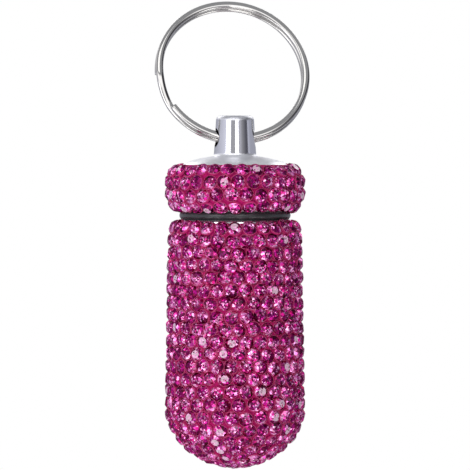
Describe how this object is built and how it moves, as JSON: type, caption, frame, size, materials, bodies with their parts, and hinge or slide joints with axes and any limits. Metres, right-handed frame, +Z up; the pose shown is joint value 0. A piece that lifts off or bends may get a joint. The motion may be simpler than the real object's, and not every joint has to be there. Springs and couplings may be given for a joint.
{
  "type": "pill fob keychain",
  "caption": "Screw-top aluminium pill vial covered in faceted crystals, closed by a sealed cap whose boss hangs from a split key ring.",
  "frame": {"origin": "on the vial's axis at the lowest crystal of its domed end", "axes": "+Z up the vial's axis towards the key ring, +X along the cross hole in the cap's boss, -Y towards the front"},
  "size_m": [0.0251, 0.0227, 0.0749],
  "materials": {
    "aluminium": "polished",
    "crystal": "cut and foiled",
    "clay": "satin",
    "seal_rubber": "matt",
    "ring_steel": "nickel plated"
  },
  "bodies": {
    "ring": {"split_ring": "ring_steel"},
    "cap": {"cap_shell": "aluminium", "cap_clay": "clay", "cap_crystals_row_01": "crystal", "cap_crystals_row_02": "crystal", "cap_crystals_row_03": "crystal", "cap_crystals_row_04": "crystal"},
    "seal": {"seal_ring": "seal_rubber"},
    "vial": {"vial_shell": "aluminium", "vial_clay": "clay", "vial_crystals_row_01": "crystal", "vial_crystals_row_02": "crystal", "vial_crystals_row_03": "crystal", "vial_crystals_row_04": "crystal", "vial_crystals_row_05": "crystal", "vial_crystals_row_06": "crystal", "vial_crystals_row_07": "crystal", "vial_crystals_row_08": "crystal", "vial_crystals_row_09": "crystal", "vial_crystals_row_10": "crystal", "vial_crystals_row_11": "crystal", "vial_crystals_row_12": "crystal", "vial_crystals_row_13": "crystal", "vial_crystals_row_14": "crystal", "vial_crystals_row_15": "crystal", "vial_crystals_row_16": "crystal", "vial_crystals_row_17": "crystal", "vial_crystals_row_18": "crystal", "vial_crystals_row_19": "crystal", "vial_crystals_row_20": "crystal", "vial_crystals_row_21": "crystal", "vial_crystals_row_22": "crystal", "vial_crystals_row_23": "crystal"}
  },
  "joints": [
    {"name": "fob_swing", "type": "hinge", "parent": "ring", "child": "cap", "pos_m": [0, 0, 0.05288], "axis": [1, 0, 0], "range_deg": [-151, 99]},
    {"name": "vial_lower", "type": "slide", "parent": "cap", "child": "seal", "axis": [0, 0, -1], "range_m": [0, 0.004]},
    {"name": "vial_unscrew", "type": "hinge", "parent": "seal", "child": "vial", "pos_m": [0, 0, 0.0398], "axis": [0, 0, -1], "range_deg": [0, 1440]}
  ],
  "couplings": [
    {"joint": "vial_lower", "follows": "vial_unscrew", "m_per_rad": 0.00015915}
  ]
}
